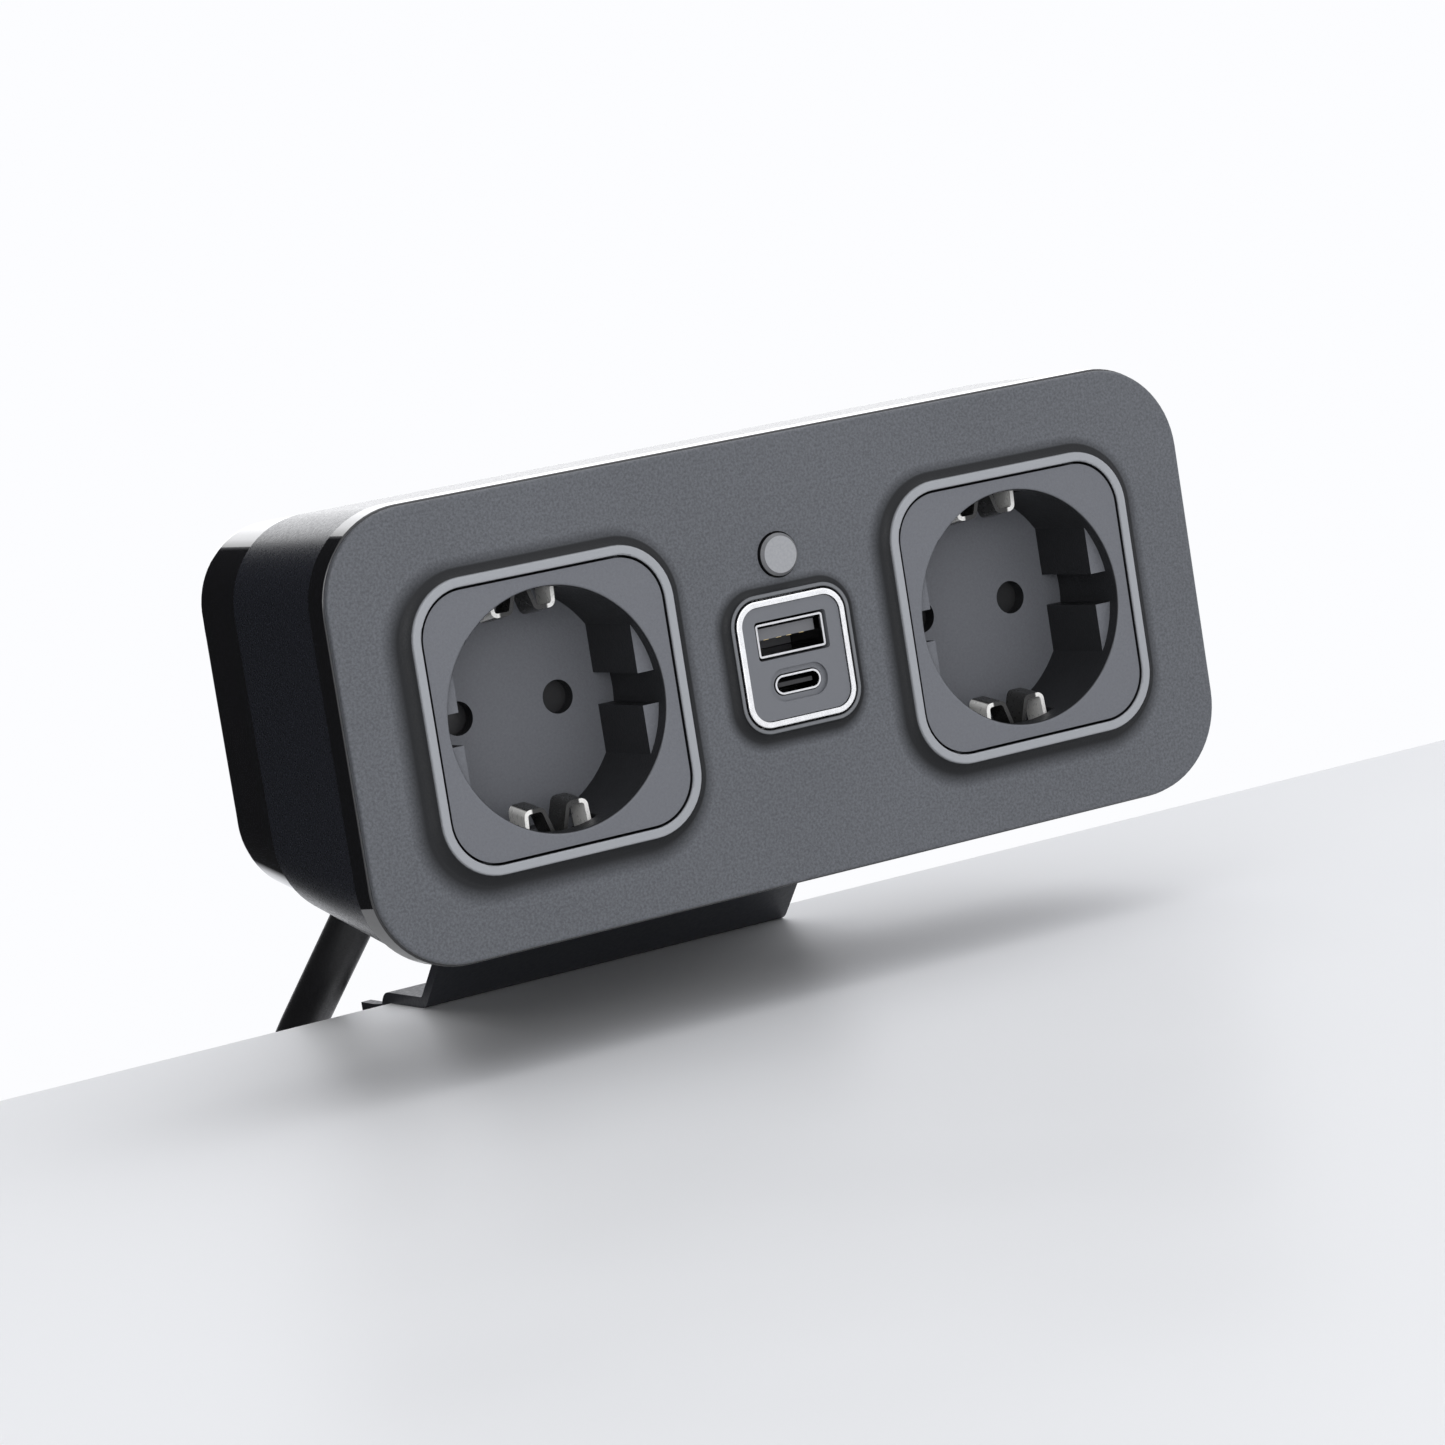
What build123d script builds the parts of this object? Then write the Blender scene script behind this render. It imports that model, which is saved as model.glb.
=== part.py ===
from build123d import *
import math
import os

# A charging hub that clamps on the rear edge of a desk: two mains sockets, a USB module and a push button.
# Frame: +Z up, the panel faces -Y, +X to the right as seen from the front.
# Origin: middle of the bracket flange's underside, where it rests on the desk.
# Hub pieces are drawn in panel axes: x to the right, y up, z out of the panel, zero on its front face.

# Front panel
panel_width = 166.5
panel_height = 74.4
panel_corner = 15.4
panel_lip = 1.2
panel_thick = 3.0
panel_edge_round = 0.5
panel_to_seat = 89.5
axis_height = 57.3
slip_fit = 0.1

# Gloss band, housing and rear shell
band_proud = 0.35
band_depth = 5.0
band_wall = 2.0
housing_depth = 30.4
housing_wall = 2.4
housing_inset = 0.75
housing_edge = 0.4
underside_slope = 10.2
lip_wall = 1.8
shell_depth = 16.5
shell_step = 1.0
shell_wall = 2.6
shell_round = 2.0
shell_lip_depth = 3.0
shell_lip_wall = 1.6

# Case screws and their posts
post_inset = 17.25
post_x = panel_width / 2 - post_inset
post_y = 28.5
low_post_y = -18.5
post_root = 1.0
post_radius = 3.6
case_screw_radius = 1.5
case_head_radius = 2.8
case_head_height = 2.2
case_screw_length = 16.0
head_recess = 4.0
cross_long = 1.4
cross_narrow = 0.35
cross_depth = 1.2
case_screw_end_gap = 1.0

# Sockets
socket_share = 0.275
socket_x = socket_share * panel_width
insert_side = 44.5
insert_corner = 8.0
insert_gap = 0.45
insert_face = 0.96
insert_flange = 1.8
insert_flange_thick = 2.0
well_radius = 20.0
well_depth = 17.5
well_wall = 1.8
well_floor = 2.5
well_edge = 0.5
pin_spacing = 19.0
pin_hole_radius = 2.85
pad_chord = 16.8
pad_top = 2.4
pad_gap = 5.4
pad_reach = 10.9
pick = 0.01
rim_width = 1.55
rim_height = 1.42
rim_flare = 3.0
rim_round = 0.3
rim_root = 1.0
rim_wall_share = 0.72
flare_bend = 0.3

# Earth springs
spring_thick = 0.7
spring_outer = 6.0
spring_lean = 0.4
spring_inner = 2.4
spring_valley = 0.8
spring_crest = 15.1
spring_foot = 20.6
spring_bend = 0.9
valley_bend = 0.5
spring_front = 6.5
spring_width = 5.2
spring_rise = 0.8
window_side = 0.7
window_front = 4.6
window_back = 12.6
window_top = 14.6
strap_half = 5.5
strap_thick = 0.8
strap_gap = 0.4

# Pin shutters
shutter_radius = 3.3
shutter_thick = 1.4
shutter_gap = 0.1

# Contact bars
sleeve_radius = 3.0
sleeve_wall = 0.6
sleeve_length = 6.9
bar_thick = 0.8
bar_height = 5.0
bar_rise = 7.0
earth_bar_rise = 15.5

# USB module
usb_drop = -0.2
usb_side = 21.25
usb_corner = 4.2
usb_gap = 0.25
usb_rim_width = 0.85
usb_rim_height = 1.0
usb_rim_flare = 2.0
usb_ring_width = 1.0
usb_ring_proud = 1.15
usb_ring_flange = 1.1
usb_ring_back = 1.2
usb_ring_round = 0.25
usb_face_gap = 0.12
usb_face_proud = 0.85
usb_a_x = -0.1
usb_a_y = 3.65
usb_a_width = 13.1
usb_a_height = 5.65
usb_a_depth = 14.0
usb_a_wall = 0.35
usb_a_proud = 0.5
usb_a_pocket = 0.45
usb_a_pocket_corner = 0.6
usb_a_corner = 0.5
tongue_width = 11.2
tongue_thick = 1.9
tongue_length = 9.0
tongue_back = 1.5
tongue_clear = 0.55
root_gap = 0.1
usb_a_contact_width = 1.0
usb_a_contact_thick = 0.15
usb_a_contact_length = 6.2
usb_a_contact_setback = 0.8
usb_a_contact_places = (-3.5, -1.0, 1.0, 3.5)
usb_c_y = -4.2
usb_c_width = 8.94
usb_c_height = 3.26
usb_c_depth = 8.0
usb_c_wall = 0.32
usb_c_proud = 0.4
usb_c_recess = 1.15
usb_c_recess_depth = 0.6
usb_c_pocket = 0.2
blade_width = 6.7
blade_thick = 0.7
blade_length = 6.0
blade_setback = 1.0
case_side = 20.4
case_wall = 1.0
case_depth = 22.5
case_corner = 2.0
ledge_thick = 1.0
ledge_width = 1.2
board_thick = 1.6
board_length = 17.0
board_setback = 4.0
board_margin = 0.2
transformer_side = 11.0
transformer_length = 8.0
transformer_height = 6.0
transformer_setback = 1.0
winding_inset = 2.0
winding_lift = 0.5
winding_proud = 1.0
winding_bulge = 0.6
capacitor_radius = 2.6
capacitor_length = 10.0
capacitor_gap = 1.2
capacitor_setback = 2.0

# Push button
button_y = 17.3
button_hole = 3.9
button_radius = 3.6
button_proud = 1.0
button_bevel = 0.5
button_collar = 4.42
button_bore = 4.5
button_collar_length = 3.0
button_stop_gap = 0.05
button_cavity = 2.4
button_travel = 0.9
button_top = 2.2
switch_gap = 0.2
guide_wall = 0.8
guide_depth = 8.0
guide_floor = 1.5
stem_radius = 1.1
stem_hole = 1.4
switch_side = 6.2
switch_height = 4.0
spring_wire = 0.4
spring_turns = 4

# Desk clamp
sheet = 2.0
bracket_width = 76.0
bracket_slant = 46.0
flange_front = 7.3
web_y = 8.8
plate_top = 14.0
plate_corner = 6.0
bend_radius = 3.0
flange_bend = 2.4
web_width = 42.0
web_shoulder = 4.0
web_length = 34.0
bracket_screw_x = 26.0
bracket_screw_high = 6.0
screw_above_bend = 14.0
m4_radius = 2.0
m4_hole = 2.2
m4_head_radius = 3.8
m4_head_height = 2.2
m4_length = 5.0
m4_head_round = 1.6
m4_thread_gap = 0.02
m4_boss = 4.5
m4_boss_height = 4.0
hex_key = 1.25
hex_depth = 1.4
desk_thick = 25.0
jaw_gap = 0.3
jaw_top = -0.6
jaw_flange = 8.2
jaw_shoulder = -22.0
jaw_plate_width = 44.0
jaw_plate_end = -44.0
prong_foot_width = 13.5
foot_reach = 40.0
foot_pad = 2.0
foot_pad_length = 34.0
jaw_up = 10.0
jaw_down = 18.0
clamp_screw_x = 12.0
clamp_screw_z = -24.0
m5_radius = 2.5
m5_slot = 2.8
thumb_radius = 6.5
thumb_height = 5.0
thumb_edge = 0.6
washer_radius = 6.0
washer_thick = 1.0
knurls = 16
knurl_radius = 0.6

# Mains cable
cable_diameter = 8.2
cable_exit = -14.7
cable_slope = 36.6
cable_gap = 1.0
boot_length = 24.0
boot_base = 7.6
boot_end = 5.2
boot_flange = 8.0
boot_flange_thick = 2.0
boot_neck = 6.0
boot_grooves = 4
boot_groove = 1.3
groove_floor = 0.6
cable_x = -(bracket_width / 2 + boot_flange + cable_gap)
cable_route = (
    (cable_x, 36.0, -11.2),
    (cable_x, 48.0, -32.0),
    (cable_x, 53.0, -56.0),
    (cable_x, 54.5, -80.0),
    (cable_x, 54.5, -103.0),
)
bend_share = 0.45
coil_radius = 46.0
coil_pitch = 8.4
coil_columns = 3
coil_layers = 2
coil_round = 4.0
tie_width = 5.0
tie_thick = 1.3
tie_gap = 0.2
tie_head = 7.0
tie_head_height = 3.0
tail_length = 36.0

# Plug
plug_radius = 18.5
plug_disc = 14.0
plug_grip_radius = 11.0
plug_length = 34.0
plug_flat = 2.2
plug_flat_width = 8.0
plug_boot_length = 20.0
plug_boot_radius = 6.4
plug_pin_radius = 2.4
plug_pin_length = 19.0
plug_strip_thick = 1.0
plug_strip_width = 6.0
plug_strip_inset = 0.5
plug_edge = 1.5
plug_pin_round = 1.5
plug_waist = 0.35
plug_shoulders = ((1, -0.6), (0.6, -1))

# Inside wiring
terminal_width = 24.0
terminal_height = 12.0
terminal_depth = 12.0
terminal_screw = 1.8
terminal_screw_depth = 4.0
terminal_pitch = 7.5

HUB = Plane(origin=(0, -panel_to_seat, axis_height), x_dir=(1, 0, 0), z_dir=(0, -1, 0))
SIDE = Plane(origin=(0, 0, 0), x_dir=(0, 1, 0), z_dir=(1, 0, 0))

band_back = -panel_lip - band_depth
housing_back = band_back - housing_depth
shell_back = housing_back - shell_depth
shell_inside = shell_back + shell_wall
rear_wall_y = -panel_to_seat - shell_back


def outline(inset=0.0):
    """Rounded outline of the panel, moved inwards by inset."""
    return RectangleRounded(panel_width - 2 * inset, panel_height - 2 * inset, panel_corner - inset)


def slab(shape, low, high):
    """A flat shape extruded between two depths of the panel axes."""
    return extrude(Pos(0, 0, low) * shape, high - low)


def tube_between(radius, low, high, x=0.0, y=0.0):
    return Pos(x, y, (low + high) / 2) * Cylinder(radius, high - low)


def block(x0, x1, y0, y1, z0, z1):
    return Pos((x0 + x1) / 2, (y0 + y1) / 2, (z0 + z1) / 2) * Box(x1 - x0, y1 - y0, z1 - z0)


def both_sockets(shape):
    return [Pos(side * socket_x, 0, 0) * shape for side in (-1, 1)]


def post_places():
    """Two posts above the sockets and one below the USB module, where the underside leaves room."""
    return [(-post_x, post_y), (post_x, post_y), (0, low_post_y)]


def rising_outline(depth, inset):
    """Outline of the body at a depth behind the band: the panel's, moved inwards, with a raised underside."""
    lift = (band_back - depth) * math.tan(math.radians(underside_slope))
    width, height = panel_width - 2 * inset, panel_height - 2 * inset - lift
    return Pos(0, lift / 2, depth) * RectangleRounded(width, height, panel_corner - inset)


def wedge(front, front_inset, back, back_inset):
    """Solid between two depths of the body, whose underside rises towards the rear."""
    return loft([rising_outline(front, front_inset), rising_outline(back, back_inset)], ruled=True)


def rim(side, corner, width, height, flare):
    """Raised rim round a square opening: a flat top, and a hollow flare that runs out on the panel."""
    path = RectangleRounded(side, side, corner).face().outer_wire()
    start, along = path @ 0, path % 0
    outward = Vector(0, 0, 1).cross(along)
    if outward.dot(start) < 0:
        outward = -outward
    frame = Plane(origin=start, x_dir=outward, z_dir=outward.cross(Vector(0, 0, 1)))
    low, wall_top, foot = -rim_root, rim_wall_share * height, width + flare
    bend = (width + flare_bend * flare, flare_bend * wall_top)
    top = height - rim_round
    sag = rim_round * (1 - math.sqrt(0.5))
    side_line = [
        Line((0, low), (0, top)),
        ThreePointArc((0, top), (sag, height - sag), (rim_round, height)),
        Line((rim_round, height), (width - rim_round, height)),
        ThreePointArc((width - rim_round, height), (width - sag, height - sag), (width, top)),
        Line((width, top), (width, wall_top)),
        ThreePointArc((width, wall_top), bend, (foot, 0.0)),
        Polyline((foot, 0.0), (foot, low), (0, low)),
    ]
    section = frame * make_face(side_line)
    return sweep(section, path=path)


def front_panel():
    plate = slab(outline(), -panel_lip, 0)
    plate = fillet(plate.faces().sort_by(Axis.Z)[-1].edges(), panel_edge_round)
    plate += slab(outline(band_wall + slip_fit), -panel_thick, -panel_lip)
    opening = insert_side + 2 * insert_gap
    opening_corner = insert_corner + insert_gap
    socket_rim = rim(opening, opening_corner, rim_width, rim_height, rim_flare)
    usb_opening = usb_side + 2 * usb_gap
    usb_rim = rim(usb_opening, usb_corner + usb_gap, usb_rim_width, usb_rim_height, usb_rim_flare)
    hole = slab(RectangleRounded(opening, opening, opening_corner), -panel_thick, rim_height)
    usb_hole = slab(RectangleRounded(usb_opening, usb_opening, usb_corner + usb_gap), -panel_thick, rim_height)
    for place in both_sockets(socket_rim):
        plate += place
    plate += Pos(0, usb_drop, 0) * usb_rim
    for place in both_sockets(hole):
        plate -= place
    plate -= Pos(0, usb_drop, 0) * usb_hole
    plate -= tube_between(button_hole, -panel_thick, 1, 0, button_y)
    post_end = housing_back + shell_lip_depth
    for x, y in post_places():
        plate += tube_between(post_radius, post_end, -panel_thick, x, y)
        plate -= tube_between(case_screw_radius, post_end, post_end + case_screw_length, x, y)
    return plate


def trim_band():
    outer = slab(outline(-band_proud), band_back, -panel_lip)
    outer = fillet(outer.faces().sort_by(Axis.Z)[-1].edges(), band_proud)
    return outer - slab(outline(band_wall), band_back, -panel_lip)


def main_housing():
    """A drafted sleeve with a rising underside, and a lip in front that carries the panel and the band."""
    sleeve = wedge(band_back, 0, housing_back, housing_inset)
    hollow = wedge(band_back, housing_wall, housing_back, housing_wall + housing_inset)
    sleeve = chamfer(sleeve.faces().sort_by(Axis.Z)[-1].edges(), housing_edge)
    lip = slab(outline(band_wall + slip_fit), band_back - lip_wall, -panel_thick)
    lip -= slab(outline(band_wall + slip_fit + lip_wall), band_back - lip_wall, -panel_thick)
    return sleeve - hollow + lip


def rear_shell():
    """Closed gloss shell behind the housing, with posts for the case screws and bosses for the bracket."""
    inset = housing_inset + shell_step
    body = wedge(housing_back, inset, shell_back, inset)
    body = fillet(body.faces().sort_by(Axis.Z)[0].edges(), shell_round)
    body -= wedge(housing_back, inset + shell_wall, shell_inside, inset + shell_wall)
    lip_outer = housing_inset + housing_wall + slip_fit
    lip_length = shell_lip_depth + shell_lip_wall
    lip_inner = lip_outer + shell_lip_wall
    lip = extrude(rising_outline(housing_back, lip_outer), lip_length, dir=(0, 0, 1))
    lip -= extrude(rising_outline(housing_back, lip_inner), lip_length, dir=(0, 0, 1))
    body += Pos(0, 0, -shell_lip_wall) * lip
    seat = shell_back + head_recess
    for x, y in post_places():
        body += tube_between(post_radius + shell_lip_wall, shell_back + post_root, housing_back + shell_lip_depth, x, y)
        body -= tube_between(case_head_radius + slip_fit, shell_back, seat, x, y)
        body -= tube_between(case_screw_radius + slip_fit, seat, housing_back + shell_lip_depth, x, y)
    for x, y in bracket_screw_places():
        body += tube_between(m4_boss, shell_inside, shell_inside + m4_boss_height, x, y)
        body -= tube_between(m4_radius, shell_back, shell_inside + m4_boss_height, x, y)
    body -= tube_between(boot_neck + slip_fit, shell_back, shell_inside, cable_x, cable_exit)
    return body


def case_screws():
    seat = shell_back + head_recess
    head = seat - case_head_height
    tip = housing_back + shell_lip_depth + case_screw_length - case_screw_end_gap
    long, narrow = cross_long, cross_narrow
    cross = block(-long, long, -narrow, narrow, head, head + cross_depth)
    cross += block(-narrow, narrow, -long, long, head, head + cross_depth)
    screws = []
    for x, y in post_places():
        screw = tube_between(case_head_radius, head, seat, x, y) + tube_between(case_screw_radius, seat, tip, x, y)
        screws.append(screw - Pos(x, y, 0) * cross)
    return Compound(children=screws)


def well_bottom():
    return insert_face - well_depth


def cup_back():
    return well_bottom() - well_floor


def socket_insert():
    """Square insert with a round well, side pads for the plug, slots for the earth springs and two pin holes."""
    body = slab(RectangleRounded(insert_side, insert_side, insert_corner), -panel_thick, insert_face)
    flange_side = insert_side + 2 * insert_gap + 2 * insert_flange
    flange = RectangleRounded(flange_side, flange_side, insert_corner + insert_flange)
    body += slab(flange, -panel_thick - insert_flange_thick, -panel_thick)
    body += tube_between(well_radius + well_wall, cup_back(), -panel_thick)
    body -= tube_between(well_radius, well_bottom(), insert_face)
    circles = body.edges().filter_by(GeomType.CIRCLE)
    circles = circles.filter_by_position(Axis.Z, insert_face - pick, insert_face + pick)
    mouth = [edge for edge in circles if abs(edge.radius - well_radius) < pick]
    body = fillet(mouth, well_edge)
    pads = tube_between(well_radius + well_wall / 2, well_bottom(), insert_face - pad_top)
    bars = None
    for sx in (-1, 1):
        for sy in (-1, 1):
            x0, x1 = sorted((sx * pad_chord, sx * (well_radius + well_wall)))
            y0, y1 = sorted((sy * pad_gap / 2, sy * pad_reach))
            bar = block(x0, x1, y0, y1, well_bottom(), insert_face - pad_top)
            bars = bar if bars is None else bars + bar
    body += pads & bars
    half = spring_outer + window_side
    for side in (-1, 1):
        y0, y1 = sorted((side * window_top, side * (well_radius + 2 * well_wall)))
        body -= block(-half, half, y0, y1, insert_face - window_back, insert_face - window_front)
        body -= tube_between(pin_hole_radius, cup_back(), well_bottom(), side * pin_spacing / 2, 0)
    return body


def strip(points, radii, thick):
    """Section of a folded strip: a line with rounded corners, given a thickness."""
    line = FilletPolyline(*points, radius=radii)
    return trace(line, line_width=thick)


def strap_arm():
    """Middle of the strap's arms, outside the well's wall."""
    return well_radius + well_wall + strap_gap + strap_thick / 2


def spring_section():
    """The earth spring seen from the mouth of the well: two arches with a valley between them."""
    crest = spring_crest + spring_thick / 2
    outer = [(spring_valley, spring_foot), (spring_inner, crest), (spring_outer - spring_lean, crest),
             (spring_outer, strap_arm())]
    points = [(-x, y) for x, y in reversed(outer)] + outer
    bends = [spring_bend, spring_bend, valley_bend]
    return strip(points, bends + bends[::-1], spring_thick)


def earth_clip():
    """Spring steel strap behind the well, with a doubly arched spring, open to the mouth, at top and bottom."""
    arm = strap_arm()
    back = cup_back() - strap_gap
    half = spring_outer + spring_thick
    front = insert_face - spring_front
    clip = block(-strap_half, strap_half, -arm, arm, back - strap_thick, back)
    lean = Vector(0, spring_rise, spring_width)
    arches = extrude(Pos(0, 0, front - spring_width) * spring_section(), lean.length, dir=lean)
    arm_plate = block(-half, half, arm - strap_thick / 2, arm + strap_thick / 2, back - strap_thick, front)
    end = arches + arm_plate
    return clip + end + Rot(0, 0, 180) * end


def pin_shutters():
    """Two sprung flaps that close the pin holes from behind."""
    high = cup_back() - shutter_gap
    flaps = [tube_between(shutter_radius, high - shutter_thick, high, side * pin_spacing / 2, 0) for side in (-1, 1)]
    return Compound(children=flaps)


def contact_bar(side, rise):
    """Brass bar with a sleeve behind one pin hole of each socket."""
    front = cup_back() - 2 * shutter_gap - shutter_thick
    back = front - sleeve_length
    bar = None
    for centre in (-socket_x, socket_x):
        x = centre + side * pin_spacing / 2
        sleeve = tube_between(sleeve_radius + sleeve_wall, back, front, x, 0)
        sleeve -= tube_between(sleeve_radius, back, front, x, 0)
        y0, y1 = sorted((0, rise))
        foot = block(x - bar_height / 2, x + bar_height / 2, y0, y1, back - bar_thick, back)
        foot += tube_between(sleeve_radius + sleeve_wall, back - bar_thick, back, x, 0)
        bar = sleeve + foot if bar is None else bar + sleeve + foot
    start, end = -socket_x + side * pin_spacing / 2, socket_x + side * pin_spacing / 2
    half = bar_height / 2
    return bar + block(start - half, end + half, rise - half, rise + half, back - bar_thick, back)


def earth_bar():
    back = cup_back() - strap_gap - strap_thick
    half = bar_height / 2
    y = earth_bar_rise
    return block(-socket_x - half, socket_x + half, y - half, y + half, back - bar_thick, back)


def at_usb(shape):
    return Pos(0, usb_drop, 0) * shape


def usb_bezel():
    ring = slab(RectangleRounded(usb_side, usb_side, usb_corner), -panel_thick, usb_ring_proud)
    ring = fillet(ring.faces().sort_by(Axis.Z)[-1].edges(), usb_ring_round)
    back = usb_side + 2 * usb_ring_flange
    flange = RectangleRounded(back, back, usb_corner + usb_ring_flange)
    ring += slab(flange, -panel_thick - usb_ring_back, -panel_thick)
    inner = usb_side - 2 * usb_ring_width
    corner = usb_corner - usb_ring_width
    ring -= slab(RectangleRounded(inner, inner, corner), -panel_thick - usb_ring_back, usb_ring_proud)
    return at_usb(ring)


def stadium(width, height):
    return SlotOverall(width, height)


def usb_a_place(shape):
    return Pos(usb_a_x, usb_a_y, 0) * shape


def usb_c_place(shape):
    return Pos(usb_a_x, usb_c_y, 0) * shape


def usb_face():
    side = usb_side - 2 * usb_ring_width - 2 * usb_face_gap
    corner = usb_corner - usb_ring_width - usb_face_gap
    back = -panel_thick - usb_ring_back
    face = slab(RectangleRounded(side, side, corner), back, usb_face_proud)
    face = at_usb(face)
    pocket = 2 * usb_a_pocket
    window = RectangleRounded(usb_a_width + pocket, usb_a_height + pocket, usb_a_pocket_corner)
    face -= usb_a_place(slab(window, back, usb_face_proud))
    gap = 2 * usb_c_pocket
    face -= usb_c_place(slab(stadium(usb_c_width + gap, usb_c_height + gap), back, usb_face_proud))
    recess = stadium(usb_c_width + 2 * usb_c_recess, usb_c_height + 2 * usb_c_recess)
    face -= usb_c_place(slab(recess, usb_face_proud - usb_c_recess_depth, usb_face_proud))
    return face


def usb_case():
    front = -panel_thick - usb_ring_back
    case = slab(RectangleRounded(case_side, case_side, case_corner), front - case_depth, front)
    inner = case_side - 2 * case_wall
    case -= slab(RectangleRounded(inner, inner, case_corner - case_wall), front - case_depth + case_wall, front)
    rail = inner / 2 - ledge_width
    ledge_front = front - board_setback - board_length / 2
    ledge = block(-inner / 2, inner / 2, -ledge_thick, 0, front - case_depth + case_wall, ledge_front)
    ledge -= block(-rail, rail, -ledge_thick, 0, front - case_depth + case_wall, ledge_front)
    return at_usb(case + Pos(0, board_bottom() - usb_drop, 0) * ledge)


def board_bottom():
    """Underside of the circuit board, just under the USB-A shell."""
    return usb_a_y - usb_a_height / 2 - board_margin - board_thick


def usb_board():
    front = -panel_thick - usb_ring_back - board_setback
    half = case_side / 2 - case_wall - board_margin
    return block(-half, half, board_bottom(), board_bottom() + board_thick, front - board_length, front)


def usb_a_shell():
    front = usb_face_proud - usb_a_proud
    outer = slab(RectangleRounded(usb_a_width, usb_a_height, usb_a_corner), front - usb_a_depth, front)
    wall = 2 * usb_a_wall
    hollow = RectangleRounded(usb_a_width - wall, usb_a_height - wall, usb_a_corner - usb_a_wall)
    return usb_a_place(outer - slab(hollow, front - usb_a_depth + usb_a_wall, front))


def tongue_low():
    return usb_a_height / 2 - usb_a_wall - tongue_clear - tongue_thick


def usb_a_tongue():
    front = usb_face_proud - usb_a_proud
    back = front - usb_a_depth + usb_a_wall
    half = tongue_width / 2
    low = tongue_low()
    tongue = block(-half, half, low, low + tongue_thick, front - tongue_back - tongue_length, front - tongue_back)
    inner_x = usb_a_width / 2 - usb_a_wall - root_gap
    inner_y = usb_a_height / 2 - usb_a_wall - root_gap
    tongue += block(-inner_x, inner_x, -inner_y, inner_y, back, front - tongue_back - tongue_length)
    return usb_a_place(tongue)


def usb_a_contacts():
    front = usb_face_proud - usb_a_proud - tongue_back - usb_a_contact_setback
    back = front - usb_a_contact_length
    low = tongue_low()
    springs = []
    for x in usb_a_contact_places:
        half = usb_a_contact_width / 2
        springs.append(block(x - half, x + half, low - usb_a_contact_thick, low, back, front))
    return usb_a_place(Compound(children=springs))


def usb_c_shell():
    front = usb_face_proud - usb_c_proud
    wall = 2 * usb_c_wall
    outer = slab(stadium(usb_c_width, usb_c_height), front - usb_c_depth, front)
    hollow = stadium(usb_c_width - wall, usb_c_height - wall)
    return usb_c_place(outer - slab(hollow, front - usb_c_depth + usb_c_wall, front))


def usb_c_blade():
    front = usb_face_proud - usb_c_proud - blade_setback
    back = usb_face_proud - usb_c_proud - usb_c_depth + usb_c_wall
    half = blade_width / 2
    blade = block(-half, half, -blade_thick / 2, blade_thick / 2, back, front)
    smaller = 2 * (usb_c_wall + root_gap)
    root = stadium(usb_c_width - smaller, usb_c_height - smaller)
    return usb_c_place(blade + slab(root, back, front - blade_length))


def transformer():
    top = board_bottom() + board_thick
    back = -panel_thick - usb_ring_back - board_setback - board_length
    half = transformer_side / 2
    low, high = back + transformer_setback, back + transformer_setback + transformer_length
    core = block(-half, half, top, top + transformer_height, low, high)
    half -= winding_inset
    winding_top = top + transformer_height + winding_proud
    return core + block(-half, half, top + winding_lift, winding_top, low - winding_bulge, high + winding_bulge)


def capacitors():
    y = board_bottom() - capacitor_radius
    back = -panel_thick - usb_ring_back - board_setback - board_length
    cans = []
    low = back + capacitor_setback
    for side in (-1, 1):
        x = side * (capacitor_radius + capacitor_gap / 2)
        cans.append(tube_between(capacitor_radius, low, low + capacitor_length, x, y))
    return Compound(children=cans)


def cap_ceiling():
    return button_proud - button_top


def button_cap():
    """Cap with a bevelled top, a collar that stops behind the panel and a stem for the switch."""
    top = -panel_thick - button_stop_gap
    head = tube_between(button_radius, top, button_proud, 0, button_y)
    head = chamfer(head.faces().sort_by(Axis.Z)[-1].edges(), button_bevel)
    head += tube_between(button_collar, top - button_collar_length, top, 0, button_y)
    head -= tube_between(button_cavity, top - button_collar_length, cap_ceiling(), 0, button_y)
    stem_end = -panel_thick - guide_depth - guide_floor + button_travel + switch_gap
    return head + tube_between(stem_radius, stem_end, cap_ceiling(), 0, button_y)


def button_guide():
    back = -panel_thick - guide_depth
    guide = tube_between(button_bore + guide_wall, back - guide_floor, -panel_thick, 0, button_y)
    guide -= tube_between(button_bore, back, -panel_thick, 0, button_y)
    return guide - tube_between(stem_hole, back - guide_floor, back, 0, button_y)


def button_spring():
    """Compression spring on the guide's floor, drawn as short as it is with the cap pressed in."""
    low = -panel_thick - guide_depth + spring_wire / 2
    high = cap_ceiling() - button_travel - switch_gap - spring_wire / 2
    radius = (button_cavity + stem_radius) / 2
    path = Helix(pitch=(high - low) / spring_turns, height=high - low, radius=radius)
    section = Plane(origin=path @ 0, z_dir=path % 0) * Rectangle(spring_wire, spring_wire)
    return Pos(0, button_y, low) * sweep(section, path=path, is_frenet=True)


def push_switch():
    top = -panel_thick - guide_depth - guide_floor
    half = switch_side / 2
    return block(-half, half, button_y - half, button_y + half, top - switch_height, top)


def bracket_corner_z():
    """Height at which the bracket's plate and its slant would meet."""
    drop = (-flange_front - rear_wall_y - sheet / 2) * math.tan(math.radians(bracket_slant))
    return sheet / 2 + drop


def bracket_screw_places():
    low = bracket_corner_z() + screw_above_bend - axis_height
    return [(sx * bracket_screw_x, y) for sx in (-1, 1) for y in (low, bracket_screw_high)]


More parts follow.
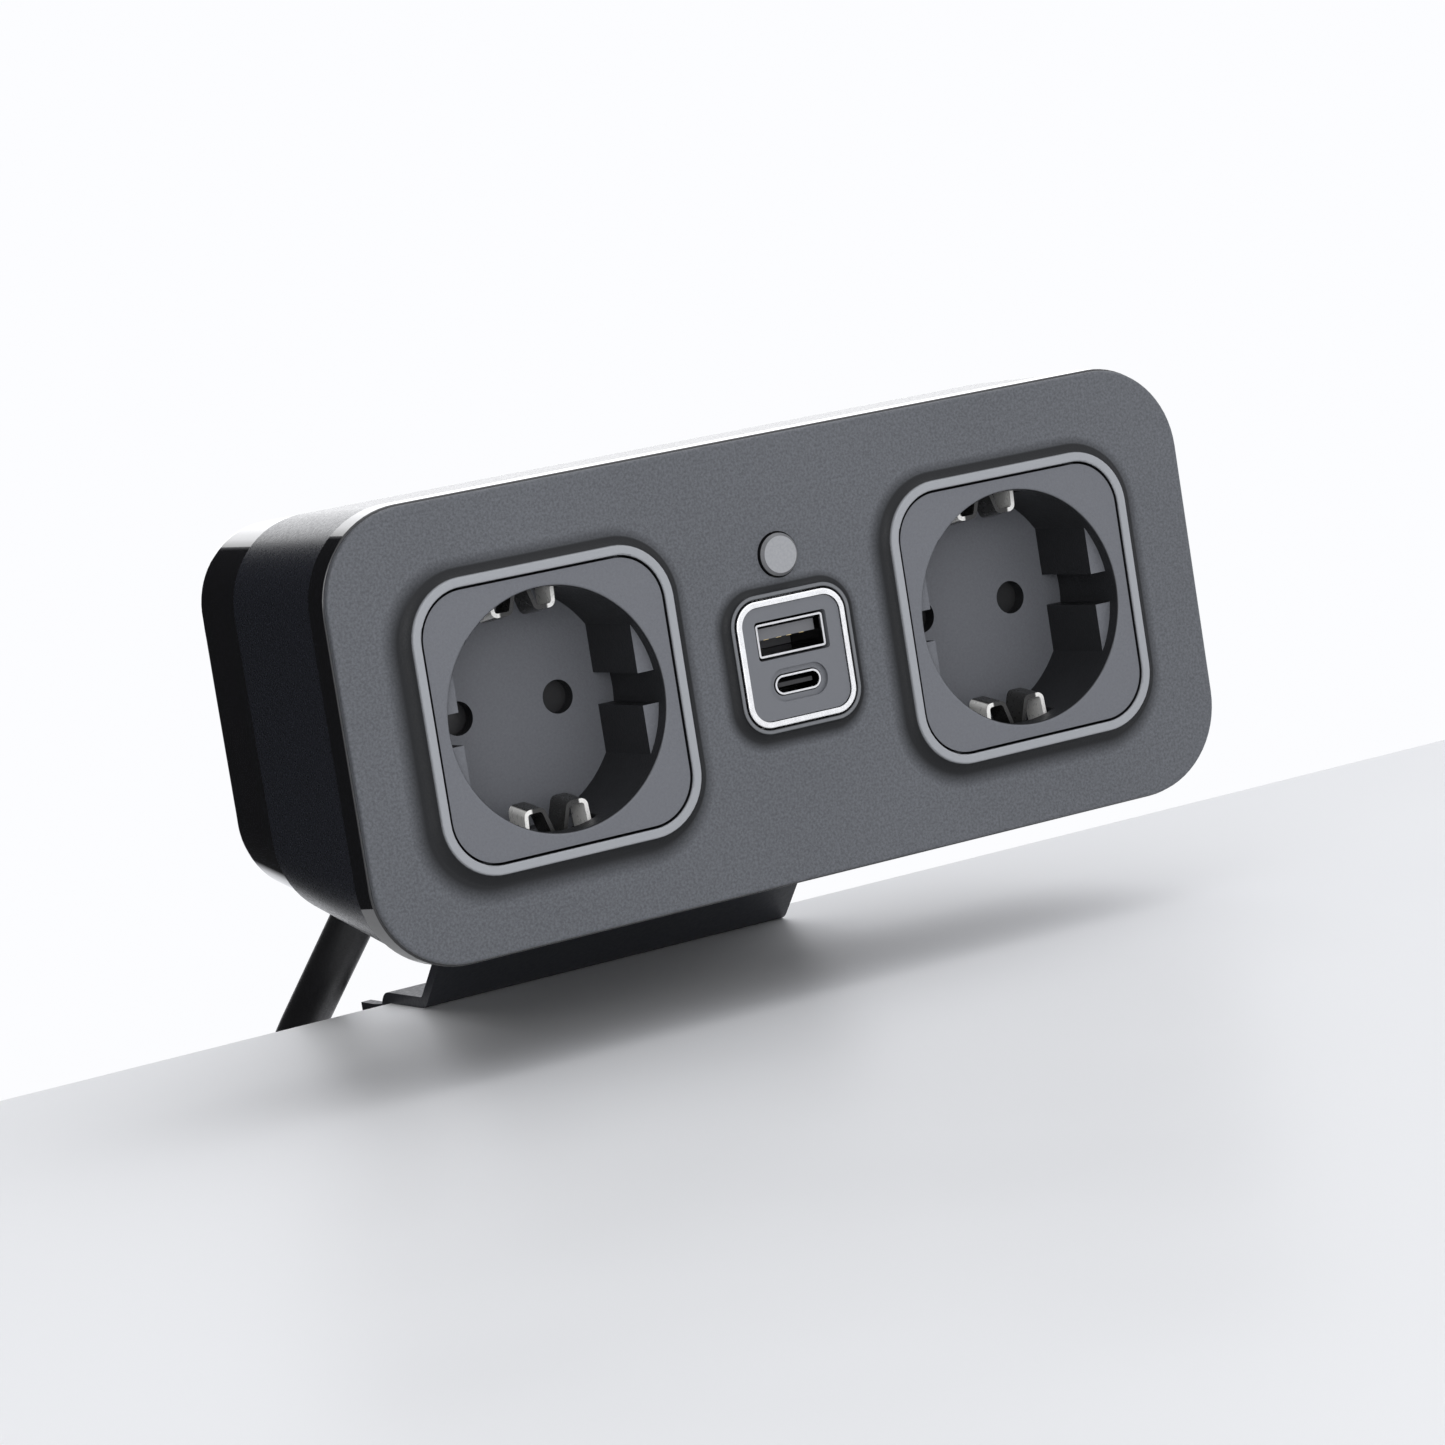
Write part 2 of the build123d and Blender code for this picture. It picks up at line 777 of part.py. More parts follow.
def bracket():
    """One folded sheet: a plate on the rear shell, a slant, the flange on the desk and a web behind its edge."""
    plate_y = rear_wall_y + sheet / 2
    mid = sheet / 2
    top_z = axis_height + plate_top
    points = [(plate_y, top_z), (plate_y, bracket_corner_z()), (-flange_front, mid), (web_y, mid)]
    points.append((web_y, -web_length))
    section = strip(points, [bend_radius + mid, flange_bend, flange_bend], sheet)
    body = extrude(SIDE * section, bracket_width / 2, both=True)
    side_room = (bracket_width - web_width) / 2
    for side in (-1, 1):
        x0, x1 = sorted((side * web_width / 2, side * (web_width / 2 + side_room + 1)))
        body -= block(x0, x1, web_y - sheet, web_y + sheet, -web_length - 1, -web_shoulder)
    tips = body.edges().filter_by(Axis.Y).filter_by_position(Axis.Z, top_z - 0.1, top_z + 0.1)
    body = fillet(tips, plate_corner)
    for x, y in bracket_screw_places():
        hole = Plane(origin=(x, plate_y, axis_height + y), z_dir=(0, 1, 0)) * Cylinder(m4_hole, 2 * sheet)
        body -= hole
    for side in (-1, 1):
        place = Plane(origin=(side * clamp_screw_x, web_y, clamp_screw_z), z_dir=(0, 1, 0))
        body -= place * Cylinder(m5_radius, 2 * sheet)
    return body


def bracket_screws():
    """Button head screws with a hexagon socket, through the bracket's plate."""
    screws = []
    for x, y in bracket_screw_places():
        place = Plane(origin=(x, rear_wall_y + sheet, axis_height + y), z_dir=(0, 1, 0))
        head = Cylinder(m4_head_radius, m4_head_height, align=(Align.CENTER, Align.CENTER, Align.MIN))
        head = fillet(head.faces().sort_by(Axis.Z)[-1].edges(), m4_head_round)
        shank = tube_between(m4_radius - m4_thread_gap, -sheet - m4_length, 0)
        socket = slab(RegularPolygon(hex_key, 6), m4_head_height - hex_depth, m4_head_height)
        screws.append(place * (head + shank - socket))
    return Compound(children=screws)


def jaw_plate_y():
    return web_y + sheet / 2 + jaw_gap + sheet / 2


def lower_jaw():
    """Sliding sheet jaw: a slotted plate behind the web, side flanges, and two feet folded under the desk."""
    y = jaw_plate_y()
    half = bracket_width / 2 - sheet / 2
    back = y + jaw_flange - sheet / 2
    channel = strip([(-half, back), (-half, y), (half, y), (half, back)], [flange_bend, flange_bend], sheet)
    body = extrude(Pos(0, 0, jaw_shoulder) * channel, jaw_top - jaw_shoulder)
    plate_half = jaw_plate_width / 2
    body += block(-plate_half, plate_half, y - sheet / 2, y + sheet / 2, jaw_plate_end, jaw_shoulder)
    foot_z = -desk_thick - foot_pad - sheet / 2
    foot = strip([(y, jaw_shoulder), (y, foot_z), (y - foot_reach, foot_z)], [bend_radius], sheet)
    for x in (-bracket_width / 2 + sheet / 2, bracket_width / 2 - sheet / 2 - prong_foot_width):
        body += extrude(Pos(x, 0, 0) * (SIDE * foot), prong_foot_width)
    slot = SlotCenterToCenter(jaw_up + jaw_down, 2 * m5_slot, rotation=90)
    middle = clamp_screw_z + (jaw_down - jaw_up) / 2
    for side in (-1, 1):
        place = Plane(origin=(side * clamp_screw_x, y, middle), x_dir=(1, 0, 0), z_dir=(0, -1, 0))
        body -= extrude(place * slot, sheet, both=True)
    return body


def jaw_pad(side):
    inner = bracket_width / 2 - sheet / 2 - prong_foot_width
    x0, x1 = sorted((side * inner, side * (inner + prong_foot_width)))
    front = jaw_plate_y() - foot_reach
    return block(x0, x1, front, front + foot_pad_length, -desk_thick - foot_pad, -desk_thick)


def clamp_washer(side):
    y = jaw_plate_y() + sheet / 2
    place = Plane(origin=(side * clamp_screw_x, y, clamp_screw_z), z_dir=(0, 1, 0))
    return place * (tube_between(washer_radius, 0, washer_thick) - tube_between(m5_slot, 0, washer_thick))


def clamp_screw(side):
    """Knurled thumb screw that locks the jaw on the web."""
    y = jaw_plate_y() + sheet / 2 + washer_thick
    place = Plane(origin=(side * clamp_screw_x, y, clamp_screw_z), z_dir=(0, 1, 0))
    head = tube_between(thumb_radius, 0, thumb_height)
    head = chamfer(head.faces().sort_by(Axis.Z)[-1].edges(), thumb_edge)
    for k in range(knurls):
        turn = 2 * math.pi * k / knurls
        spot = (thumb_radius * math.cos(turn), thumb_radius * math.sin(turn))
        head -= tube_between(knurl_radius, 0, thumb_height, *spot)
    shank = tube_between(m5_radius - m4_thread_gap, web_y - sheet / 2 - y, 0)
    return place * (head + shank)


def cable_direction():
    slope = math.radians(cable_slope)
    return Vector(0, math.cos(slope), -math.sin(slope))


def cable_start():
    """Centre of the cable's way through the rear wall's outer face."""
    return Vector(cable_x, rear_wall_y, axis_height + cable_exit)


def strain_relief():
    """Rubber sleeve that leads the cable down and back, grooved so that it can bend, with a neck through the wall."""
    along = cable_direction()
    frame = Plane(origin=cable_start(), x_dir=(1, 0, 0), z_dir=along)
    cone = Cone(boot_base, boot_end, boot_length, align=(Align.CENTER, Align.CENTER, Align.MIN))
    pitch = boot_length / (boot_grooves + 2)
    cone = grooved(cone, boot_base, [boot_length - pitch * (k + 1) for k in range(boot_grooves)], boot_groove)
    sleeve = frame * cone + frame * tube_between(boot_base, -boot_base, 0)
    wall = Plane(origin=cable_start(), x_dir=(1, 0, 0), z_dir=(0, 1, 0))
    room = boot_length + boot_flange
    sleeve -= wall * block(-room, room, -room, room, -room, 0)
    neck = tube_between(boot_flange, 0, boot_flange_thick)
    neck += tube_between(boot_neck, -shell_wall, 0)
    neck += tube_between(boot_flange, -shell_wall - boot_flange_thick, -shell_wall)
    return sleeve + wall * neck


def cable_points():
    """Corners of the cable's route: out of the sleeve, over the desk's rear edge and down beside the coil."""
    return [cable_start() + cable_direction() * boot_length] + [Vector(*point) for point in cable_route]


def arc_radii(points):
    radii = []
    for a, b, c in zip(points, points[1:], points[2:]):
        before, after = b - a, c - b
        half_turn = math.radians(before.get_angle(after)) / 2
        radii.append(bend_share * min(before.length, after.length) / math.tan(half_turn))
    return radii


def mains_cable():
    points = cable_points()
    radii = arc_radii(points)
    path = FilletPolyline(*points, radius=radii)
    section = Plane(origin=points[0], z_dir=points[1] - points[0]) * Circle(cable_diameter / 2)
    tube = sweep(section, path=path)
    expected = path.length * math.pi * (cable_diameter / 2) ** 2
    print("cable run", round(path.length, 1), "radii", [round(r) for r in radii])
    print("cable volume", round(tube.volume, 1), "expected", round(expected, 1))
    return tube


def coil_width():
    return (coil_columns - 1) * coil_pitch + cable_diameter


def coil_thick():
    return (coil_layers - 1) * coil_pitch + cable_diameter


def coil_start():
    """Centre of the outer turn that lies against the cable."""
    return cable_points()[-1] - Vector(coil_pitch, 0, 0)


def coil_centre():
    """Middle of the coil: the cable comes down beside its rear, level with the outer layer."""
    start = coil_start()
    x = start.X - (coil_columns - 1) * coil_pitch / 2
    return Vector(x, start.Y - coil_radius - (coil_layers - 1) * coil_pitch / 2, start.Z)


def cable_coil():
    """Outer shape of the tied coil: a rounded ring."""
    section = Pos(coil_radius, 0) * RectangleRounded(coil_thick(), coil_width(), coil_round)
    ring = revolve(Plane.XZ * section, Axis.Z)
    place = Plane(origin=coil_centre(), x_dir=(0, 1, 0), z_dir=(1, 0, 0))
    return place * ring


def cable_tie():
    """Tie round the rear of the coil and the cable beside it."""
    width = coil_width() + coil_pitch + 2 * tie_gap
    thick = coil_thick() + 2 * tie_gap
    corner = cable_diameter / 2 + tie_gap
    inner = RectangleRounded(width, thick, corner)
    outer = RectangleRounded(width + 2 * tie_thick, thick + 2 * tie_thick, corner + tie_thick)
    band = slab(outer, -tie_width / 2, tie_width / 2) - slab(inner, -tie_width / 2, tie_width / 2)
    reach = thick / 2 + tie_thick
    head = block(-tie_head / 2, tie_head / 2, reach - tie_gap, reach + tie_head_height, -tie_width / 2, tie_width / 2)
    centre = coil_centre() + Vector(coil_pitch / 2, coil_radius, 0)
    return Pos(centre.X, centre.Y, centre.Z) * (band + head)


def cable_tail():
    """The cable's end, which leaves the coil's outer turn and hangs with the plug."""
    top = coil_start()
    return Pos(top.X, top.Y, top.Z) * tube_between(cable_diameter / 2, -tail_length, 0)


def plug_place():
    top = coil_start()
    return Pos(top.X, top.Y, top.Z - tail_length)


def grooved(cone, radius, places, groove):
    """A cone with narrow rings cut down to the cable's cover."""
    for z in places:
        ring = tube_between(radius + 1, z - groove / 2, z + groove / 2)
        cone -= ring - tube_between(cable_diameter / 2 + groove_floor, z - groove / 2, z + groove / 2)
    return cone


def plug_boot():
    cone = Cone(plug_boot_radius, boot_end, plug_boot_length, align=(Align.CENTER, Align.CENTER, Align.MIN))
    pitch = plug_boot_length / (boot_grooves + 1)
    cone = grooved(cone, plug_boot_radius, [pitch * (k + 1) for k in range(boot_grooves)], boot_groove)
    return plug_place() * Pos(0, 0, -plug_boot_length) * cone


def plug_body():
    """Moulded plug: a round front with two flats for the earth strips, and a narrower grip."""
    front = -plug_boot_length - plug_length
    profile = [
        Line((0, -plug_boot_length), (plug_boot_radius + 1, -plug_boot_length)),
        Spline(
            (plug_boot_radius + 1, -plug_boot_length),
            (plug_grip_radius, -plug_boot_length - plug_waist * plug_length),
            (plug_radius, front + plug_disc),
            tangents=plug_shoulders,
        ),
        Line((plug_radius, front + plug_disc), (plug_radius, front + plug_edge)),
        Line((plug_radius, front + plug_edge), (plug_radius - plug_edge, front)),
        Line((plug_radius - plug_edge, front), (0, front)),
        Line((0, front), (0, -plug_boot_length)),
    ]
    body = revolve(Plane.XZ * make_face(profile), Axis.Z)
    for side in (-1, 1):
        y0, y1 = sorted((side * (plug_radius - plug_flat), side * (plug_radius + 1)))
        body -= block(-plug_flat_width / 2, plug_flat_width / 2, y0, y1, front - 1, front + plug_disc)
    return plug_place() * body


def plug_pins():
    front = -plug_boot_length - plug_length
    pins = []
    for side in (-1, 1):
        pin = tube_between(plug_pin_radius, front - plug_pin_length, front, side * pin_spacing / 2, 0)
        pins.append(fillet(pin.faces().sort_by(Axis.Z)[0].edges(), plug_pin_round))
    return plug_place() * Compound(children=pins)


def plug_earth_strips():
    front = -plug_boot_length - plug_length
    low, high = front + plug_strip_inset, front + plug_disc - plug_strip_inset
    half = plug_strip_width / 2
    inner = plug_radius - plug_flat
    strips = []
    for side in (-1, 1):
        y0, y1 = sorted((side * inner, side * (inner + plug_strip_thick)))
        strips.append(block(-half, half, y0, y1, low, high))
    return plug_place() * Compound(children=strips)


def terminal_block():
    """Three-pole block that joins the cable to the contact bars, seated on the strain relief's inner flange."""
    back = shell_inside + boot_flange_thick
    front = back + terminal_depth
    half, high = terminal_width / 2, terminal_height / 2
    body = block(cable_x - half, cable_x + half, cable_exit - high, cable_exit + high, back, front)
    for k in (-1, 0, 1):
        x = cable_x + k * terminal_pitch
        body -= tube_between(terminal_screw, front - terminal_screw_depth, front, x, cable_exit)
    return body


def hub(shape):
    """A hub piece, moved from the panel's axes to the object's frame."""
    return HUB.location * shape


def build_all():
    parts = {
        "front_panel": hub(front_panel()),
        "trim_band": hub(trim_band()),
        "main_housing": hub(main_housing()),
        "rear_shell": hub(rear_shell()),
        "case_screws": hub(case_screws()),
        "live_bar": hub(contact_bar(-1, bar_rise)),
        "neutral_bar": hub(contact_bar(1, -bar_rise)),
        "earth_bar": hub(earth_bar()),
        "usb_bezel": hub(usb_bezel()),
        "usb_face": hub(usb_face()),
        "usb_case": hub(usb_case()),
        "usb_board": hub(usb_board()),
        "usb_a_shell": hub(usb_a_shell()),
        "usb_a_tongue": hub(usb_a_tongue()),
        "usb_a_contacts": hub(usb_a_contacts()),
        "usb_c_shell": hub(usb_c_shell()),
        "usb_c_blade": hub(usb_c_blade()),
        "transformer": hub(transformer()),
        "capacitors": hub(capacitors()),
        "button_cap": hub(button_cap()),
        "button_guide": hub(button_guide()),
        "button_spring": hub(button_spring()),
        "push_switch": hub(push_switch()),
        "terminal_block": hub(terminal_block()),
        "bracket": bracket(),
        "bracket_screws": bracket_screws(),
        "lower_jaw": lower_jaw(),
        "strain_relief": strain_relief(),
        "mains_cable": mains_cable(),
        "cable_coil": cable_coil(),
        "cable_tie": cable_tie(),
        "cable_tail": cable_tail(),
        "plug_boot": plug_boot(),
        "plug_body": plug_body(),
        "plug_pins": plug_pins(),
        "plug_earth_strips": plug_earth_strips(),
    }
    insert, clip, shutters = socket_insert(), earth_clip(), pin_shutters()
    for name, side in (("left", -1), ("right", 1)):
        parts[f"socket_insert_{name}"] = hub(Pos(side * socket_x, 0, 0) * insert)
        parts[f"earth_clip_{name}"] = hub(Pos(side * socket_x, 0, 0) * clip)
        parts[f"pin_shutters_{name}"] = hub(Pos(side * socket_x, 0, 0) * shutters)
        parts[f"jaw_pad_{name}"] = jaw_pad(side)
        parts[f"clamp_washer_{name}"] = clamp_washer(side)
        parts[f"clamp_screw_{name}"] = clamp_screw(side)
    return parts


os.makedirs("parts", exist_ok=True)
for name, shape in build_all().items():
    export_step(shape, f"parts/{name}.step")
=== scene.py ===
import math

import bpy
import numpy as np
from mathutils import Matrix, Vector


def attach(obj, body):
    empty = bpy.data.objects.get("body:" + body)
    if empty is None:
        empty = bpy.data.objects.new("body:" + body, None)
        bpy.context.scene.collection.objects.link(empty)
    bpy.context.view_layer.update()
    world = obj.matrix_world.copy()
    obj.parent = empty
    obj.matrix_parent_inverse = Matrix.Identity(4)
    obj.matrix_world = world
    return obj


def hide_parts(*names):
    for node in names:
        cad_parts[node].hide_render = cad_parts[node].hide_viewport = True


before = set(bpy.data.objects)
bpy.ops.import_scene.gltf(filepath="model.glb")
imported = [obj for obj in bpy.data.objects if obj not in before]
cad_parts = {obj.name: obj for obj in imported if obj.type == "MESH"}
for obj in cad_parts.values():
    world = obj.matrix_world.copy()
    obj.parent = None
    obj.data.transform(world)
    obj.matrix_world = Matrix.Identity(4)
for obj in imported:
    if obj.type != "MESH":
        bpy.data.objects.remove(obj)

bl_info = {
    "name": "Desk Charging Hub",
    "version": (1, 0, 0),
    "blender": (4, 5, 0),
    "location": "View3D > Sidebar > Charging Hub",
    "description": "Finishes for a charging hub that clamps on a desk, its mains cable and the desk it stands on",
    "category": "Object",
}

MM = 0.001
TAB = "Charging Hub"

# The sockets' middles lie this far to each side of the hub's, in metres.
SOCKET_X = 0.04578

# The soft shade beside the rims round the sockets and the USB module, in metres: middle, half side and corner radius
# of the rim outside, and how far the shade reaches. The light comes from the upper right, so each middle is moved a
# little to the lower left of the rim's own.
RIMS = (
    ((-0.0468, 0.0566), 0.02425, 0.010, 0.0042),
    ((0.0453, 0.0567), 0.02425, 0.010, 0.0037),
    ((-0.0004, 0.0566), 0.01172, 0.0053, 0.0026),
)

# Stretches over which a finish changes, in metres: along Y, where the rims' flare leaves the panel's face, where their
# flat tops begin and where the painted shade inside the USB shells sets in, and outwards from a socket's middle, where
# the springs' painted-bright outer legs begin.
RIM_FLARE = (-89.505 * MM, -89.6 * MM)
RIM_TOP = (-90.4 * MM, -90.6 * MM)
SHELL_MOUTH = (-89.9 * MM, -89.3 * MM)
SPRING_LEG = (4.3 * MM, 4.6 * MM)

# How much of its own colour a finish keeps in places that the light hardly reaches.
BESIDE_RIM = 0.14
ON_FLARE = 0.12
INSERT_WALL = 0.12
SPRING_ARCH = 0.03
INSIDE_SHELL = 0.06

# The studio: the direction in which the white wall ends, 3 degrees right of straight behind, how soft its end is, the
# brightness left of it, and the brightness of the front with the stretch of Y over which it sets in.
WALL_END = math.radians(-3)
WALL_EDGE = (-0.05, 0.1)
DARK_SIDE = 0.03
SOFT_FRONT = 1.25
FRONT_EDGE = (-0.1, -0.5)

# Lamps: name, place, the point that it faces, width and height, all in metres, and power in watts.
LAMPS = (
    ("front lamp", (-0.5, -1.0, 0.3), (-0.02, -0.09, 0.06), (0.5, 0.4), 2),
    ("top lamp", (0.1, 0.0, 1.2), (0, -0.2, 0), (1.6, 1.4), 6.3),
)
WINDOW = ("window", (1.1, 1.49, 0.77), (0, 0, 0.05), (2.5, 1.95), 17)
SMOOTH_BLACKS = ("main_housing", "trim_band", "rear_shell")

# The photograph's camera: place in metres, turn in degrees, and focal length for a frame of the width, both in mm.
CAMERA_PLACE = (-0.42179, -0.79726, 0.14280)
CAMERA_TURN = (83.373, 8.9805, -30.8997)
CAMERA_LENS = 123.92
CAMERA_FRAME = 36.0

# The cable's route in millimetres: out of the sleeve, straight past the desk's edge, and down beside the coil.
CABLE_ROUTE = (
    (-47.0, -17.132, 28.291),
    (-47.0, 16.7, 3.16),
    (-47.0, 36.0, -11.2),
    (-47.0, 48.0, -32.0),
    (-47.0, 53.0, -56.0),
    (-47.0, 54.5, -80.0),
    (-47.0, 54.5, -103.0),
)


def hub_node(name):
    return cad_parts[name]


# Sizes and colours


class HubColours(bpy.types.PropertyGroup):
    panel: bpy.props.FloatVectorProperty(
        name="Panel", description="Textured anthracite of the front panel", subtype="COLOR", size=3,
        default=(0.107, 0.112, 0.122), min=0, max=1)
    rim: bpy.props.FloatVectorProperty(
        name="Rims", description="Lighter, smoother tops of the rims round the sockets", subtype="COLOR", size=3,
        default=(0.31, 0.32, 0.335), min=0, max=1)
    insert: bpy.props.FloatVectorProperty(
        name="Inserts", description="Dark grey of the socket inserts", subtype="COLOR", size=3,
        default=(0.135, 0.14, 0.153), min=0, max=1)
    housing: bpy.props.FloatVectorProperty(
        name="Housing", description="Satin black of the housing's side", subtype="COLOR", size=3,
        default=(0.013, 0.014, 0.019), min=0, max=1)
    gloss: bpy.props.FloatVectorProperty(
        name="Gloss black", description="Polished black of the band and the rear shell", subtype="COLOR", size=3,
        default=(0.003, 0.003, 0.004), min=0, max=1)
    grain: bpy.props.FloatProperty(
        name="Grain", description="Width of one grain of the moulded texture", subtype="DISTANCE", unit="LENGTH",
        default=0.45 * MM, min=0.05 * MM, max=3 * MM)


class CableSizes(bpy.types.PropertyGroup):
    diameter: bpy.props.FloatProperty(
        name="Diameter", description="Outside diameter of the mains cable", subtype="DISTANCE", unit="LENGTH",
        default=8.2 * MM, min=4 * MM, max=12 * MM)
    coil_radius: bpy.props.FloatProperty(
        name="Coil radius", description="Radius of the coil at the middle of its turns", subtype="DISTANCE",
        unit="LENGTH", default=46 * MM, min=20 * MM, max=120 * MM)
    pitch: bpy.props.FloatProperty(
        name="Pitch", description="Distance between neighbouring turns", subtype="DISTANCE", unit="LENGTH",
        default=8.4 * MM, min=4 * MM, max=20 * MM)
    turns: bpy.props.IntProperty(name="Turns", description="Turns in the coil", default=6, min=4, max=20)
    tail: bpy.props.FloatProperty(
        name="Tail", description="Length that hangs between the coil and the plug", subtype="DISTANCE",
        unit="LENGTH", default=36 * MM, min=10 * MM, max=200 * MM)


class DeskSizes(bpy.types.PropertyGroup):
    thickness: bpy.props.FloatProperty(
        name="Thickness", description="Thickness of the desk top in the clamp", subtype="DISTANCE", unit="LENGTH",
        default=25 * MM, min=10 * MM, max=60 * MM)
    rear_edge: bpy.props.FloatProperty(
        name="Rear edge", description="How far behind the seat the desk ends", subtype="DISTANCE", unit="LENGTH",
        default=7 * MM, min=0, max=0.1)
    half_width: bpy.props.FloatProperty(
        name="Half width", description="Desk to each side of the hub", subtype="DISTANCE", unit="LENGTH",
        default=1.1, min=0.2, max=3)
    depth: bpy.props.FloatProperty(
        name="Depth", description="Desk in front of its rear edge", subtype="DISTANCE", unit="LENGTH",
        default=1.1, min=0.2, max=3)
    colour: bpy.props.FloatVectorProperty(
        name="Desk", description="Pale grey of the desk top", subtype="COLOR", size=3,
        default=(0.79, 0.795, 0.8), min=0, max=1)


# Building blocks for materials


def new_material(name, colour, roughness, metallic=0.0):
    """A material with a surface shader, its node tree and the object's own coordinates."""
    material = bpy.data.materials.new(name)
    material.use_nodes = True
    nodes, links = material.node_tree.nodes, material.node_tree.links
    shader = nodes["Principled BSDF"]
    shader.inputs["Base Color"].default_value = (*colour, 1)
    shader.inputs["Roughness"].default_value = roughness
    shader.inputs["Metallic"].default_value = metallic
    place = nodes.new("ShaderNodeTexCoord").outputs["Object"]
    return material, nodes, links, shader, place


def noise(nodes, links, place, scale, detail=2.0, roughness=0.5):
    """Fractal noise with a given number of features to the metre."""
    node = nodes.new("ShaderNodeTexNoise")
    node.inputs["Scale"].default_value = scale
    node.inputs["Detail"].default_value = detail
    node.inputs["Roughness"].default_value = roughness
    links.new(place, node.inputs["Vector"])
    return node.outputs["Fac"]


def ramp(nodes, links, value, low, high, bottom, top):
    """A value's range low to high, spread over bottom to top."""
    node = nodes.new("ShaderNodeMapRange")
    node.inputs["From Min"].default_value = low
    node.inputs["From Max"].default_value = high
    node.inputs["To Min"].default_value = bottom
    node.inputs["To Max"].default_value = top
    links.new(value, node.inputs["Value"])
    return node.outputs["Result"]


def blend(nodes, links, factor, first, second):
    """First colour where the factor is 0, second where it is 1; either may be a socket."""
    node = nodes.new("ShaderNodeMix")
    node.data_type = "RGBA"
    links.new(factor, node.inputs["Factor"])
    for socket, colour in (("A", first), ("B", second)):
        slot = next(s for s in node.inputs if s.name == socket and s.type == "RGBA")
        if isinstance(colour, bpy.types.NodeSocket):
            links.new(colour, slot)
        else:
            slot.default_value = (*colour, 1)
    return next(s for s in node.outputs if s.type == "RGBA")


def bump(nodes, links, shader, height, depth, strength=1.0):
    """Raises the surface by a height field of the given depth in metres."""
    node = nodes.new("ShaderNodeBump")
    node.inputs["Distance"].default_value = depth
    node.inputs["Strength"].default_value = strength
    links.new(height, node.inputs["Height"])
    links.new(node.outputs["Normal"], shader.inputs["Normal"])


def shade(colour, factor):
    """A colour made darker or lighter by a factor."""
    return tuple(min(1.0, c * factor) for c in colour)


def facing_front(nodes, links):
    """1 where the surface faces the front, 0 where it is a wall seen from the side."""
    split = nodes.new("ShaderNodeSeparateXYZ")
    links.new(nodes.new("ShaderNodeTexCoord").outputs["Normal"], split.inputs["Vector"])
    return ramp(nodes, links, split.outputs["Y"], -0.6, -0.85, 0.0, 1.0)


# The mask for the painted shade beside one rim.
def beside_rim(nodes, links, place, middle, half, corner, reach):
    """1 up to 0.3 of the reach outside a rounded square in the panel's face, fading to 0 at the whole reach: the
    length of max(|point - middle| - straight half side, 0), less the corner's radius, is the distance from it."""
    value = place
    straight = half - corner
    full = 0.3 * reach
    steps = (("SUBTRACT", (middle[0], 0, middle[1])), ("MULTIPLY", (1, 0, 1)), ("ABSOLUTE", None),
             ("SUBTRACT", (straight, 0, straight)), ("MAXIMUM", (0, 0, 0)))
    for operation, amount in steps:
        node = nodes.new("ShaderNodeVectorMath")
        node.operation = operation
        links.new(value, node.inputs[0])
        if amount is not None:
            node.inputs[1].default_value = amount
        value = node.outputs["Vector"]
    length = nodes.new("ShaderNodeVectorMath")
    length.operation = "LENGTH"
    links.new(value, length.inputs[0])
    return ramp(nodes, links, length.outputs["Value"], corner + full, corner + reach, 1.0, 0.0)


def textured_panel(colours):
    """Anthracite moulding with a fine grain and painted soft shade beside its rims. The rims' flared flanks carry
    painted shade and their flat tops are a lighter colour, which the height above the panel's face tells apart."""
    material, nodes, links, shader, place = new_material("textured panel", colours.panel, 0.42)
    grain = noise(nodes, links, place, 1 / colours.grain, 3.0, 0.6)
    cloud = noise(nodes, links, place, 30.0, 2.0)
    split = nodes.new("ShaderNodeSeparateXYZ")
    links.new(place, split.inputs["Vector"])
    painted_flank_shade = ramp(nodes, links, split.outputs["Y"], *RIM_FLARE, 0.0, 1.0)
    top = ramp(nodes, links, split.outputs["Y"], *RIM_TOP, 0.0, 1.0)
    pits = blend(nodes, links, cloud, shade(colours.panel, 0.72), shade(colours.panel, 0.88))
    peaks = blend(nodes, links, cloud, shade(colours.panel, 1.12), shade(colours.panel, 1.28))
    base = blend(nodes, links, ramp(nodes, links, grain, 0.35, 0.65, 0.0, 1.0), pits, peaks)
    # Painted shade: the panel's colour is darkened beside each rim.
    for middle, half, corner, reach in RIMS:
        painted_rim_shade = beside_rim(nodes, links, place, middle, half, corner, reach)
        base = blend(nodes, links, painted_rim_shade, base, shade(colours.panel, BESIDE_RIM))
    # Painted shade on the rims' flared flanks.
    base = blend(nodes, links, painted_flank_shade, base, shade(colours.panel, ON_FLARE))
    links.new(blend(nodes, links, top, base, colours.rim), shader.inputs["Base Color"])
    links.new(ramp(nodes, links, grain, 0.3, 0.7, 0.36, 0.5), shader.inputs["Roughness"])
    shader.inputs["Specular IOR Level"].default_value = 0.2
    bump(nodes, links, shader, grain, 0.05 * MM)
    return material


def rough_insert(colours):
    """Dark grey moulding with a grain that is a little rougher than the panel's, and painted shade that darkens its
    walls.
    """
    material, nodes, links, shader, place = new_material("rough insert", colours.insert, 0.42)
    shader.inputs["Specular IOR Level"].default_value = 0.25
    grain = noise(nodes, links, place, 1 / colours.grain, 4.0, 0.7)
    tint = blend(nodes, links, grain, shade(colours.insert, 0.8), shade(colours.insert, 1.25))
    # Painted shade: walls that do not face the front are darkened.
    tint = blend(nodes, links, facing_front(nodes, links), shade(colours.insert, INSERT_WALL), tint)
    links.new(tint, shader.inputs["Base Color"])
    links.new(ramp(nodes, links, grain, 0.3, 0.7, 0.36, 0.48), shader.inputs["Roughness"])
    bump(nodes, links, shader, grain, 0.06 * MM)
    return material


